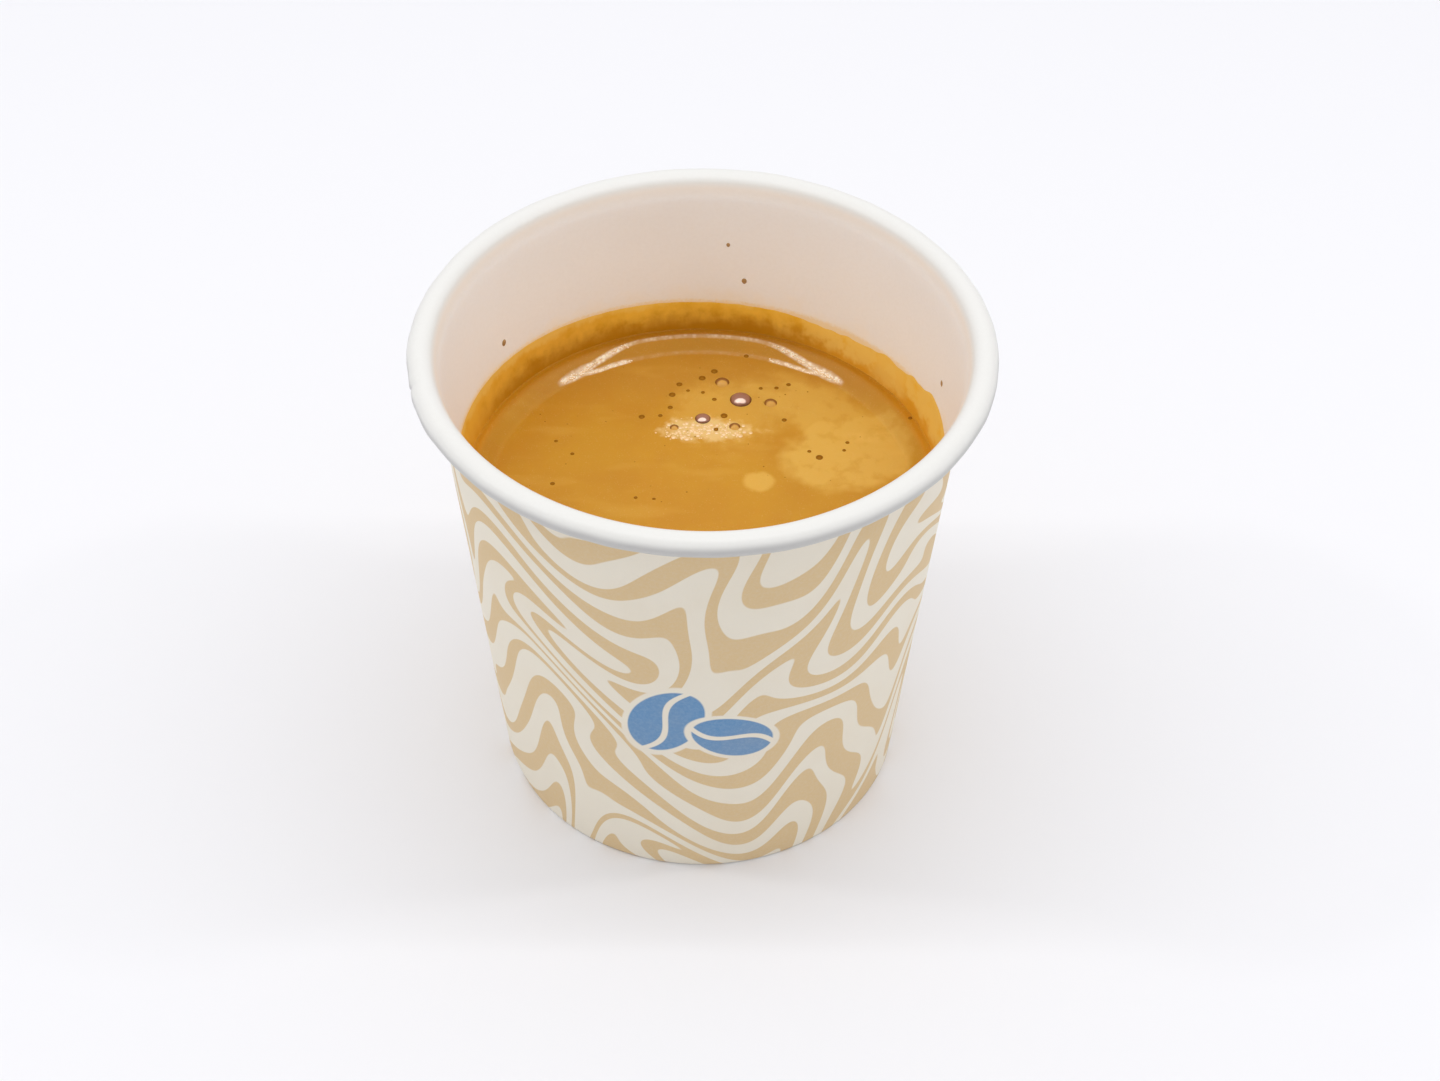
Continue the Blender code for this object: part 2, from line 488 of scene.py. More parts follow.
def ring_faces(rings: int, steps: int, edge: Edge) -> list[tuple[int, ...]]:
    """Faces between neighbouring rings of points.

    Args:
        rings: how many rings there are.
        steps: how many points each has.
        edge: whether the last ring joins the first, or each end closes on the axis in one
            point, which then follow the rings.

    Returns:
        The faces' corners, facing out where the rings run as part.py's outlines do.
    """
    here = np.arange(steps)
    following = (here + 1) % steps
    faces: list[tuple[int, ...]] = []
    pairs = [(ring, ring + 1) for ring in range(rings - 1)]
    if edge is Edge.LOOP:
        pairs.append((rings - 1, 0))
    for low, high in pairs:
        corners = (low * steps + here, low * steps + following, high * steps + following, high * steps + here)
        faces += list(zip(*(side.tolist() for side in corners)))
    if edge is Edge.POLES:
        start, end = rings * steps, rings * steps + 1
        last = (rings - 1) * steps
        faces += [(start, int(b), int(a)) for a, b in zip(here, following)]
        faces += [(last + int(a), last + int(b), end) for a, b in zip(here, following)]
    return faces


def make_piece(
    name: str,
    points: np.ndarray,
    faces: Sequence[tuple[int, ...]],
    finishes: Sequence[bpy.types.Material],
    finish_of_face: Sequence[int] | None = None,
    sharp: float = 50.0,
) -> bpy.types.Object:
    """Make a smooth mesh piece that rides on the cup's body.

    Args:
        name: the piece's name.
        points: the places of its points.
        faces: the corners of its faces.
        finishes: its materials.
        finish_of_face: which of them each face takes.
        sharp: the angle between faces, in degrees, from which an edge stays sharp.

    Returns:
        The new object.
    """
    mesh = bpy.data.meshes.new(name)
    mesh.from_pydata(points.tolist(), [], faces)
    for finish in finishes:
        mesh.materials.append(finish)
    if finish_of_face is not None:
        mesh.polygons.foreach_set("material_index", np.asarray(finish_of_face, np.int32))
    mesh.validate()
    mesh.shade_smooth()
    mesh.set_sharp_from_angle(angle=math.radians(sharp))
    piece = bpy.data.objects.new(name, mesh)
    bpy.context.scene.collection.objects.link(piece)
    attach(piece, BODY)
    LOG.info("%s: %d points, %d faces", name, len(points), len(faces))
    return piece


def turn_points(radii: np.ndarray, heights: np.ndarray, angles: np.ndarray) -> np.ndarray:
    """Points from rings of radii and heights, each with one value for each angle."""
    places = np.stack([radii * np.cos(angles), radii * np.sin(angles), heights], axis=-1)
    return places.reshape(-1, 3)


def offset_sides(path: np.ndarray, half: float) -> tuple[np.ndarray, np.ndarray]:
    """The two sides of a strip of paper.

    Args:
        path: the strip's middle line.
        half: half its thickness.

    Returns:
        The sides to the right and to the left of the line.
    """
    runs = np.diff(path, axis=0)
    runs /= np.linalg.norm(runs, axis=1)[:, None]
    normals = np.stack([runs[:, 1], -runs[:, 0]], axis=1)
    joined = np.vstack([normals[:1], (normals[1:] + normals[:-1]) / 2, normals[-1:]])
    joined *= (half / (joined**2).sum(axis=1))[:, None]
    return path + joined, path - joined


def arc(
    centre: tuple[float, float],
    half: tuple[float, float],
    start: float,
    end: float,
    steps: int,
) -> np.ndarray:
    """Points along an oval arc in the plane of radius and height, from start to end in degrees."""
    angles = np.radians(np.linspace(start, end, steps + 1))
    return np.stack([centre[0] + half[0] * np.cos(angles), centre[1] + half[1] * np.sin(angles)], axis=1)


@dataclass(frozen=True)
class Tine:
    """One stroke of a comb through marbled colour: a turn, then waves as height, length and phase."""

    turn: float
    waves: tuple[tuple[float, float, float], ...]

    def draw(self, graph: Graph, across: Signal, up: Signal) -> tuple[Signal, Signal]:
        """Bend a pair of coordinates by the stroke.

        Args:
            graph: the material's graph.
            across: the first coordinate.
            up: the second one.

        Returns:
            The coordinates along and beside the stroke.
        """
        along, beside = graph.turned(across, up, self.turn)
        for height, length, phase in self.waves:
            beside = beside + (along / length + phase).wave() * height
        return along, beside


@dataclass(frozen=True)
class PrintedPaper:
    """The cup's outside: a tan and cream marbled print on uncoated paper."""

    form: CupForm
    tan: Colour = srgb(222, 194, 147)
    cream: Colour = srgb(240, 232, 214)
    margin: Colour = srgb(232, 231, 226)
    blue: Colour = srgb(98, 146, 190)
    margin_height: float = 56.1
    tines: tuple[Tine, ...] = (
        Tine(20.0, ((8.0, 51.0, 0.20), (3.0, 27.0, 0.60))),
        Tine(80.0, ((8.0, 45.0, 0.05), (3.0, 21.0, 0.35))),
        Tine(60.0, ((6.0, 33.0, 0.50), (1.2, 14.0, 0.10))),
    )
    period: float = 8.0
    scale: float = 0.84
    swell: float = 1.4
    lean: float = 0.16
    edge: float = 0.08
    mark_angle: float = math.radians(-92.0)
    mark_height: float = 26.0
    beans: tuple[Oval, ...] = (Oval(-2.9, 0.6, 5.6, 3.7, 62.0), Oval(4.3, -2.0, 4.7, 3.1, -24.0))
    bean_edge: tuple[float, float] = (1.02, 0.97)
    outline_edge: tuple[float, float] = (1.20, 1.14)
    crease_edge: tuple[float, float] = (0.28, 0.42)
    crease_sway: float = 0.28

    def build(self) -> bpy.types.Material:
        """Make the material.

        Returns:
            The finish.
        """
        graph = Graph("printed_paper_outside")
        angle = graph.angle()
        middle_radius = self.form.wall_middle(self.form.height / 2) / MM
        past = ((angle - self.form.seam) / FULL_TURN).math("FRACT")
        across = past * (FULL_TURN * middle_radius)
        print_colour = graph.mix(self.marbling(graph, across), self.tan, self.cream)
        marked = self.mark(graph, angle, print_colour)
        fibre = graph.noise(graph.place, 0.35, 4.0, 0.65)
        cloud = graph.noise(graph.place, 7.0, 3.0)
        inked = graph.mix((graph.z - self.margin_height).rise(-0.12, 0.12), marked, self.margin)
        worn = graph.mix(fibre.rise(0.35, 0.75) * 0.10, inked, self.margin)
        toned = graph.mix(cloud.rise(0.4, 0.8) * 0.10, worn, self.tan)
        graph.surface(Base_Color=toned, Roughness=0.50 + fibre * 0.16, Specular_IOR_Level=0.35)
        graph.bump(fibre * 0.7 + graph.noise(graph.place, 1.6, 2.0) * 0.3, 0.03 * MM)
        return graph.material

    def marbling(self, graph: Graph, across: Signal) -> Signal:
        """Where the print is cream: straight bands, combed until they flow and fold.

        Args:
            graph: the material's graph.
            across: the distance round the cup from the seam, in millimetres.

        Returns:
            1 where the print is cream and 0 where it is tan.
        """
        along, beside = across / self.scale, graph.z / self.scale
        for tine in self.tines:
            along, beside = tine.draw(graph, along, beside)
        swell = graph.noise(graph.combine(across, graph.z, 5.0), 10.0, 0.0) - 0.5
        return ((beside / self.period).wave() + self.lean + swell * self.swell).rise(-self.edge, self.edge)

    def mark(self, graph: Graph, angle: Signal, ground: object) -> object:
        """A pair of coffee beans on the front, edged in cream.

        Args:
            graph: the material's graph.
            angle: the angle round the cup.
            ground: the colour of the print below.

        Returns:
            The colour with the beans on it.
        """
        radius = self.form.wall_middle(self.mark_height * MM) / MM
        across = (angle - self.mark_angle) * radius
        up = graph.z - self.mark_height
        colour = ground
        for bean in self.beans:
            along, beside = graph.turned(across - bean.x, up - bean.y, bean.turn)
            distance = graph.distance(across, up, bean)
            sway = (along / (2.2 * bean.half_long)).wave() * (self.crease_sway * bean.half_wide)
            crease = abs(beside - sway).rise(*self.crease_edge)
            colour = graph.mix(distance.rise(*self.outline_edge), colour, self.cream)
            colour = graph.mix(distance.rise(*self.bean_edge) * crease, colour, self.blue)
        return colour


@dataclass(frozen=True)
class LinedPaper:
    """The white side of the sheet: a thin glossy lining, stained lightly above the drink, with painted shade
    on the flare and under the roll.
    """

    white: Colour = srgb(252, 252, 251)
    # the next colour is painted shade on the flare inside the top
    flare_shade: Colour = srgb(240, 230, 218)
    rim_white: Colour = srgb(231, 230, 225)
    # the next colour is painted shade under the outer side of the roll
    under_roll_shade: Colour = srgb(198, 197, 194)
    fibre_shade: Colour = srgb(216, 211, 202)
    stain: Colour = srgb(255, 236, 200)
    fringe: Colour = srgb(246, 214, 142)
    stain_strength: float = 0.36
    fringe_strength: float = 0.6
    stain_top: float = 45.2
    stain_bottom: float = 42.0
    film_top: float = 42.75
    film_oval: float = 0.5
    film_turn: float = math.radians(165.0)
    rim_height: float = 57.2
    roll_radius: float = 29.9

    def build(self) -> bpy.types.Material:
        """Make the material.

        Returns:
            The finish.
        """
        graph = Graph("lined_paper")
        cloud = graph.noise(graph.place, 5.0, 3.0, 0.6)
        fibre = graph.noise(graph.place, 0.4, 3.0, 0.6)
        edge = graph.z + (cloud - 0.5) * 5.0
        inside = edge.rise(self.stain_top, self.stain_bottom) * graph.z.rise(30.0, 34.0)
        white = graph.mix(fibre.rise(0.3, 0.8) * 0.08, self.rim(graph), self.fibre_shade)
        turns = (graph.angle() - self.film_turn) / math.pi + 0.25
        above = graph.z - self.film_top - turns.wave() * self.film_oval + (fibre - 0.5) * 0.8
        fringed = above.rise(0.6, 0.0) * graph.z.rise(36.0, 38.0) * self.fringe_strength
        soaked = graph.mix(inside * self.stain_strength, white, self.stain)
        graph.surface(
            Base_Color=graph.mix(fringed, soaked, self.fringe),
            Roughness=0.36 + fibre * 0.14,
            Specular_IOR_Level=0.45,
            Coat_Weight=0.12,
            Coat_Roughness=0.25,
        )
        graph.bump(cloud * 0.6 + fibre * 0.4, 0.035 * MM)
        return graph.material

    def rim(self, graph: Graph) -> object:
        """The white with painted shade on the flare and under the roll, and its greyer white on the roll.

        Args:
            graph: the material's graph.

        Returns:
            The colour.
        """
        above = graph.z - self.rim_height
        beyond = graph.radius() - self.roll_radius
        # painted shade: a warm grey on the flare, where it faces up and catches more light
        white = graph.mix(above.rise(-1.4, 0.2), self.white, self.flare_shade)
        white = graph.mix(above.rise(0.0, 0.9).wider(beyond.rise(-0.4, 0.0)), white, self.rim_white)
        # painted shade under the outer side of the roll
        under = above.rise(0.9, 0.2) * above.rise(-1.0, -0.7) * beyond.rise(0.0, 0.3)
        return graph.mix(under, white, self.under_roll_shade)


@dataclass(frozen=True)
class BoardPaper:
    """The base's plain white board."""

    white: Colour = srgb(238, 234, 225)
    fleck: Colour = srgb(206, 198, 182)

    def build(self) -> bpy.types.Material:
        """Make the material.

        Returns:
            The finish.
        """
        graph = Graph("base_board")
        fibre = graph.noise(graph.place, 0.5, 5.0, 0.7)
        cloud = graph.noise(graph.place, 6.0, 2.0)
        colour = graph.mix(fibre.rise(0.45, 0.8) * 0.4 + cloud * 0.08, self.white, self.fleck)
        graph.surface(Base_Color=colour, Roughness=0.66 + fibre * 0.15, Specular_IOR_Level=0.3)
        graph.bump(fibre, 0.05 * MM)
        return graph.material


@dataclass(frozen=True)
class GlintArcs:
    """Two arcs of painted highlight along the drink's edge, with beads strung on them, which meet at both
    ends.

    One lies on the shoulder of the rise and drops towards its ends, the other on its foot.
    Places are in millimetres in from the wall and in degrees away from the middle.
    """

    middle: float = 90.8
    end: float = 44.0
    shoulder: float = 1.02
    drop: float = 1.15
    drop_span: tuple[float, float] = (15.0, 38.0)
    foot: float = 2.68
    meet: float = 0.5
    meet_span: tuple[float, float] = (30.0, 38.0)


@dataclass(frozen=True)
class Crema:
    """Fine golden brown foam, with lighter pools, an edge darkened with painted shade, and painted highlight
    arcs along it.
    """

    edge_radius: float
    golden: Colour = srgb(197, 141, 31)
    deep: Colour = srgb(193, 134, 28)
    far: Colour = srgb(188, 131, 43)
    pool: Colour = srgb(220, 173, 76)
    pale: Colour = srgb(244, 214, 152)
    # the next three colours are painted shade at the edge: on the rise, on the ledge at the back and on the
    # ledge at the sides
    slope: Colour = srgb(186, 130, 10)
    ledge: Colour = srgb(166, 108, 4)
    side_ledge: Colour = srgb(200, 136, 16)
    # the next colour is the painted highlight of the edge's arcs
    painted_glint: Colour = srgb(255, 240, 214)
    glint_arcs: GlintArcs = GlintArcs()
    right_pool: Oval = Oval(16.0, 6.0, 6.8, 5.6, 20.0)
    back_pool: Oval = Oval(13.0, 13.2, 8.2, 4.6, -38.0)
    front_pool: Oval = Oval(6.3, 1.3, 1.7, 1.5, 20.0)
    froth_body: Oval = Oval(2.4, 12.4, 6.6, 5.6)
    froth_lip: Oval = Oval(0.5, 9.75, 5.3, 2.1, 1.0)
    bubble_size: float = 0.24
    bead_size: float = 0.55

    def build(self) -> bpy.types.Material:
        """Make the material.

        Returns:
            The finish.
        """
        graph = Graph("crema_foam")
        inset = self.edge_radius / MM - graph.radius()
        drift = graph.noise(graph.place, 8.0, 3.0, 0.55)
        grain = graph.noise(graph.place, 0.7, 4.0, 0.7)
        froth = graph.cells(graph.place, self.bubble_size)
        colour = graph.mix(drift.rise(0.35, 0.70), self.golden, self.deep)
        colour = graph.mix(graph.y.rise(11.0, 20.0) * 0.8, colour, self.far)
        colour = graph.mix(self.pools(graph, drift, grain) * 0.85, colour, self.pool)
        colour = self.island(graph, grain, colour)
        colour = self.rim(graph, inset + (drift - 0.5) * 0.8, colour)
        speckle = (1.0 - froth.rise(0.10, 0.45)) * grain.rise(0.4, 0.7)
        colour = graph.mix(speckle * 0.12, colour, self.pale)
        # painted highlights: two pale beaded arcs along the edge, where lamps would be reflected
        colour = graph.mix(self.painted_glints(graph, inset), colour, self.painted_glint)
        beaded = inset.rise(3.3, 2.6)
        graph.surface(
            Base_Color=colour,
            Roughness=0.34 + beaded * 0.14 + grain * 0.06,
            IOR=1.33,
            Subsurface_Weight=0.2,
            Subsurface_Radius=(0.6 * MM, 0.3 * MM, 0.12 * MM),
            Subsurface_Scale=1.0,
        )
        graph.bump(grain * 0.4 + (1.0 - froth) * (0.4 + beaded * 0.5), 0.016 * MM)
        return graph.material

    def rim(self, graph: Graph, inset: Signal, ground: object) -> object:
        """Paint shade on the rise and the ledge at the wall, most at the back.

        Args:
            graph: the material's graph.
            inset: the distance in from the wall, in millimetres.
            ground: the colour of the open crema.

        Returns:
            The colour with the painted shade at its edge.
        """
        behind = graph.y.rise(6.0, 22.0)
        beside = abs(graph.x).rise(7.0, 16.0)
        # painted shade on the rise, most at the back and least at the sides
        slope_shade = inset.rise(2.9, 2.0) * (0.30 + behind * (0.35 - beside * 0.45))
        # painted shade on the ledge, darkest at the back
        dark = graph.mix(behind * (1.0 - beside * 0.4), self.side_ledge, self.ledge)
        return graph.mix(inset.rise(1.3, 0.6), graph.mix(slope_shade, ground, self.slope), dark)

    def painted_glints(self, graph: Graph, inset: Signal) -> Signal:
        """Where the edge is painted with highlights: on its shoulder and its foot, most at both ends.

        Args:
            graph: the material's graph.
            inset: the distance in from the wall, in millimetres.

        Returns:
            How much painted highlight the crema takes.
        """
        wet = self.glint_arcs
        away = abs(graph.angle() * (180.0 / math.pi) - wet.middle)
        beads = graph.cells(graph.place, self.bead_size).rise(0.62, 0.15)
        patchy = graph.noise(graph.place, 1.3, 2.0).rise(0.34, 0.62)
        upper = inset - wet.shoulder - away.rise(*wet.drop_span) * wet.drop
        lower = inset - wet.foot + away.rise(*wet.meet_span) * wet.meet
        width = 1.0 + away.rise(18.0, 26.0) * 0.4 + away.rise(31.0, 35.0) * 0.7 - away.rise(38.0, 44.0) * 0.9
        upper = (abs(upper) / width).rise(0.30, 0.08) * (0.34 + away.rise(17.0, 25.0) * 0.66)
        lower = abs(lower).rise(0.40, 0.10) * (0.08 + away.rise(19.5, 23.0) * 0.85)
        return upper.wider(lower) * (0.42 + beads * 0.58 + patchy * 0.30) * away.rise(wet.end, wet.end - 3.0)

    def pools(self, graph: Graph, drift: Signal, grain: Signal) -> Signal:
        """Where lighter foam lies: a wide pool on the right, a small one in front, faint streaks.

        Args:
            graph: the material's graph.
            drift: the crema's wide unevenness.
            grain: its fine grain.

        Returns:
            The lighter foam's share.
        """
        crinkle = graph.noise(graph.vector("ADD", graph.place, (9.0, 2.0, 4.0)), 3.2, 2.0, 0.55)
        wander = (drift - 0.5) * 0.9 + (crinkle - 0.5) * 0.7
        right = (graph.spot(self.right_pool) + wander).rise(1.20, 0.84)
        behind = (graph.spot(self.back_pool) + wander).rise(1.25, 0.60) * 0.75
        front = (graph.spot(self.front_pool) + (crinkle - 0.5) * 0.9).rise(1.25, 0.75)
        stretched = graph.vector("MULTIPLY", graph.place, (0.5, 1.4, 1.0))
        streaks = graph.noise(stretched, 4.0, 2.0).rise(0.52, 0.75) * 0.22
        mottle = 1.0 - (crinkle + (grain - 0.5) * 0.4).rise(0.50, 0.66) * 0.35
        return right.wider(behind).wider(front * 0.9) * mottle + streaks

    def island(self, graph: Graph, grain: Signal, ground: object) -> object:
        """Lay the froth over a colour: pale along its near lip, yellowish round the large bubbles.

        Args:
            graph: the material's graph.
            grain: the crema's fine grain.
            ground: the colour below.

        Returns:
            The colour with the froth on it.
        """
        crinkle = graph.noise(graph.vector("ADD", graph.place, (3.0, 7.0, 1.0)), 1.7, 2.0, 0.6)
        body = (graph.spot(self.froth_body) + (crinkle - 0.5) * 0.8).rise(1.20, 0.55)
        lip = graph.spot(self.froth_lip) + (crinkle - 0.5) * 1.1 + (grain - 0.5) * 0.7
        yellowish = graph.mix(body * 0.45, ground, self.pool)
        return graph.mix(lip.rise(1.15, 0.6) * 0.50, yellowish, self.pale)


@dataclass(frozen=True)
class BubbleFilm:
    """A wet dome over a hollow: dark round its foot, dusky above, with a painted highlight on its near side.

    The painted highlight is an oval in the slopes of the dome, to the right and away from the viewer.
    """

    name: str
    rim: Colour
    middle: Colour
    # the next colour is a painted highlight
    painted_highlight: Colour
    spot: Oval = Oval(-0.06, -0.40, 0.42, 0.20)
    rim_slope: tuple[float, float] = (0.62, 0.84)
    roughness: float = 0.07
    gloss: float = 0.5

    def build(self) -> bpy.types.Material:
        """Make the material.

        Returns:
            The finish.
        """
        graph = Graph(self.name)
        across, away, upward = graph.axes(graph.node("ShaderNodeNewGeometry").outputs["Normal"])
        cloud = graph.noise(graph.place, 0.6, 2.0)
        colour = graph.mix((upward + (cloud - 0.5) * 0.2).rise(*self.rim_slope), self.rim, self.middle)
        # painted highlight on the near side of each dome
        distance = graph.distance(across, away, self.spot)
        colour = graph.mix((distance + (cloud - 0.5) * 0.5).rise(1.15, 0.70), colour, self.painted_highlight)
        graph.surface(Base_Color=colour, Roughness=self.roughness, IOR=1.40, Specular_IOR_Level=self.gloss)
        return graph.material


@dataclass(frozen=True)
class WallStain:
    """The film that the drink leaves on the wall: golden above, wet and darker below, brown at the back and
    left as painted shade.
    """

    golden: Colour = srgb(244, 188, 54)
    yellow: Colour = srgb(247, 208, 110)
    orange: Colour = srgb(228, 164, 42)
    # the next colour is the film's wet lower part, and its painted shade at the back and left
    brown: Colour = srgb(188, 128, 8)
    patch_angle: float = math.radians(36.0)
    wall_radius: float = 26.0
    drip_stretch: float = 0.35

    def build(self) -> bpy.types.Material:
        """Make the material.

        Returns:
            The finish.
        """
        graph = Graph("wall_stain")
        angle = graph.angle()
        across = angle * self.wall_radius
        drips = graph.noise(graph.combine(across, graph.z * self.drip_stretch, 1.0), 1.5, 3.0, 0.6)
        blotch = graph.noise(graph.combine(across, graph.z, 4.0), 2.4, 3.0, 0.6)
        level = graph.z + (drips - 0.5) * 2.0 + (blotch - 0.5) * 2.2
        # painted shade: towards the back and the left the film's lower part turns brown and its blotches
        # darken
        shade = (graph.y - graph.x * 0.35).rise(13.0, 24.0)
        right = graph.x.rise(6.0, 17.0)
        low = graph.mix(shade, self.orange, self.brown)
        # the upper film is a darker orange towards the left
        golden = graph.mix(graph.x.rise(-6.0, -17.0) * 0.6, self.golden, self.orange)
        colour = graph.mix(level.rise(41.8, 39.2), golden, low)
        colour = graph.mix(shade * blotch.rise(0.66, 0.36) * 0.14, colour, self.brown)
        patches = blotch.rise(0.32, 0.54) * level.rise(38.8, 40.2) * (0.15 + right * 0.75)
        patch = abs(angle - self.patch_angle).rise(0.17, 0.06) * level.rise(38.4, 39.6) * 0.75
        patches = patches.wider(patch)
        colour = graph.mix(patches.wider(level.rise(41.6, 42.8) * 0.7) * 0.8, colour, self.yellow)
        graph.surface(Base_Color=colour, Roughness=0.34 + drips * 0.2, IOR=1.38)
        graph.bump(drips, 0.04 * MM)
        return graph.material


@dataclass(frozen=True)
class StudioFloor:
    """A plain pale sweep."""

    white: Colour = srgb(240, 240, 242)
    shade: Colour = srgb(236, 236, 239)

    def build(self) -> bpy.types.Material:
        """Make the material.

        Returns:
            The finish.
        """
        graph = Graph("studio_floor")
        cloud = graph.noise(graph.place, 40.0, 2.0)
        colour = graph.mix(cloud * 0.1, self.white, self.shade)
        graph.surface(Base_Color=colour, Roughness=0.9, Specular_IOR_Level=0.1)
        return graph.material


@dataclass
class PaperSheet:
    """The cup's one sheet: hem, foot fold, lapped wall and rolled rim."""

    form: CupForm
    steps: int = 360
    wall_steps: int = 40
    flare_steps: int = 8
    roll_steps: int = 44
    bend_steps: int = 6
    lap_low: tuple[float, float] = (0.5 * MM, 2.0 * MM)
    lap_high: tuple[float, float] = (55.7 * MM, 55.0 * MM)
    seam_step: float = math.radians(0.35)
    rim_spread: Ripple = Ripple(seed=4, size=0.07 * MM, first=2, last=5)
    rim_lift: Ripple = Ripple(seed=9, size=0.07 * MM, first=2, last=7)
    roll_pinch: Ripple = Ripple(seed=15, size=0.05 * MM, first=5, last=40, fade=0.3)
    roll_lap: float = 0.07
    roll_lap_end: tuple[float, float] = (math.radians(9.0), math.radians(20.0))
    notch_depth: float = 0.16
    notch_width: float = math.radians(0.9)
    notch_place: float = math.radians(2.2)

    def path(self) -> np.ndarray:
        """Middle line of the sheet.

        Returns:
            Its radii and heights, from the top of the hem to the tucked end of the roll.
        """
        form = self.form
        bend = form.foot_bend
        bend_height = form.paper / 2 + bend
        hem_inset = form.paper + form.base_paper + 2 * form.gap
        hem_top = form.base_recess - form.gap
        hem_bend = (form.wall_middle(bend_height) - hem_inset + bend, bend_height)
        wall_bend = (form.wall_middle(bend_height) - bend, bend_height)
        straight = np.linspace(bend_height, form.flare_start, self.wall_steps + 2)[1:]
        heights = np.append(straight, np.linspace(form.flare_start, form.join[1], self.flare_steps + 2)[1:-1])
        return np.vstack([
            [(form.wall_middle(hem_top) - hem_inset, hem_top)],
            arc(hem_bend, (bend, bend), 180.0, 270.0, self.bend_steps),
            arc(wall_bend, (bend, bend), 270.0, 360.0, self.bend_steps),
            np.stack([form.flared_middle(heights), heights], axis=1),
            arc(form.roll_centre, form.roll_middle, form.roll_start, form.roll_end, self.roll_steps),
        ])

    def lap(self, angles: np.ndarray) -> np.ndarray:
        """How far the outer end of the sheet stands out, from 0 to 1."""
        past = self.form.past_seam(angles)
        return 1.0 - ease(past, self.form.lap_width, self.form.lap_width + self.form.lap_fade)

    def build(self, outside: bpy.types.Material, lining: bpy.types.Material) -> bpy.types.Object:
        """Make the sheet.

        Args:
            outside: the printed side's finish.
            lining: the finish of the white side, the roll and the hem.

        Returns:
            The piece.
        """
        form = self.form
        path = self.path()
        right, left = offset_sides(path, form.paper / 2)
        outline = np.vstack([right, left[::-1]])
        middle = np.vstack([path, path[::-1]])
        index = np.concatenate([np.arange(len(path)), np.arange(len(path))[::-1]])
        is_right = np.arange(len(outline)) < len(path)
        roll_start = len(path) - self.roll_steps - 1
        on_roll = index >= roll_start
        angles = np.linspace(0.0, FULL_TURN, self.steps, endpoint=False)
        angles = np.sort(np.append(angles, [form.seam - self.seam_step, form.seam + 1e-5]))
        height = middle[:, 1]
        top_share = form.top_share(height)
        lap_up = np.minimum(ease(height, *self.lap_low), ease(height, *self.lap_high))
        lap_up = np.where(on_roll | (index < self.bend_steps * 2 + 2), 0.0, lap_up)
        radii = np.repeat(outline[:, :1], len(angles), axis=1)
        heights = np.repeat(outline[:, 1:], len(angles), axis=1)
        radii += np.outer(np.where(is_right, lap_up, 0.0), self.lap(angles)) * form.lap_rise
        radii -= np.outer(np.where(is_right, 0.0, lap_up), form.inner_end(angles)) * form.inner_lap
        radii += np.outer(top_share, self.rim_spread(angles) - self.rim_spread.size)
        heights += np.outer(top_share, self.rim_lift(angles) - self.rim_lift.size)
        radii += form.bulge(height[:, None], angles[None, :])
        self.shape_roll(radii, heights, np.where(on_roll)[0], angles)
        points = turn_points(radii, heights, angles)
        faces = ring_faces(len(outline), len(angles), Edge.LOOP)
        printed = is_right & (index >= self.bend_steps + 2) & (index < roll_start)
        kinds = np.repeat(np.where(printed, 0, 1), len(angles))
        piece = make_piece("cup_sheet", points, faces, [outside, lining], kinds, sharp=60.0)
        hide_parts(CadNode.WALL.value)
        return piece

    def shape_roll(
        self,
        radii: np.ndarray,
        heights: np.ndarray,
        rings: np.ndarray,
        angles: np.ndarray,
    ) -> None:
        """Pinch the roll unevenly, and thicken it past the seam, with a small notch at the lap.

        Args:
            radii: the radii of the sheet's rings, which are changed in place.
            heights: their heights, changed likewise.
            rings: which of the rings lie on the roll.
            angles: the angles of each ring's points.
        """
        centre = self.form.roll_centre
        past = self.form.past_seam(angles - self.notch_place)
        lapped = (1.0 - ease(past, *self.roll_lap_end)) * self.roll_lap
        beside = np.minimum(past, FULL_TURN - past) / self.notch_width
        notch = np.exp(-(beside**2)) * self.notch_depth
        swell = 1.0 + lapped - notch + self.roll_pinch(angles) / self.form.roll_middle[0]
        outer = ease(radii[rings] - centre[0], -0.6 * MM, 0.5 * MM)
        factor = 1.0 + (swell - 1.0) * outer
        radii[rings] = centre[0] + (radii[rings] - centre[0]) * factor
        heights[rings] = centre[1] + (heights[rings] - centre[1]) * (1.0 + (factor - 1.0) * 0.5)
        np.minimum(radii, self.form.rim_radius, out=radii)
        np.minimum(heights, self.form.height, out=heights)


@dataclass
class DrinkForm:
    """The drink's surface: a flat middle, then a smooth rise to a narrow ledge along the wall."""

    form: CupForm
    level: float = 37.3 * MM
    edge_rise: float = 1.35 * MM
    edge_outer: float = 0.6 * MM
    edge_inner: float = 2.9 * MM
    cling_rise: float = 0.12 * MM
    cling_reach: float = 0.3 * MM
    wander: Ripple = Ripple(seed=31, size=0.12 * MM, first=2, last=12)
    swell: Ripple = Ripple(seed=43, size=0.04 * MM, first=2, last=6)

    def inset(self, radius: np.ndarray) -> np.ndarray:
        """Distance in from the wall at the drink's level."""
        return self.form.wall_inside(self.level) - radius

    def surface(self, radius: np.ndarray, angles: np.ndarray) -> np.ndarray:
        """Height of the surface.

        Args:
            radius: distances from the axis.
            angles: the angle of each, in an array of the same shape.

        Returns:
            The heights.
        """
        inset = self.inset(radius)
        rise = ease(inset - self.wander(angles), self.edge_inner, self.edge_outer)
        cling = np.clip(1.0 - inset / self.cling_reach, 0.0, 1.0) ** 2
        roll = self.swell(angles) * ease(radius, 2 * MM, 16 * MM) * ease(inset, 0.0, 5 * MM)
        return self.level + self.edge_rise * rise + self.cling_rise * cling + roll


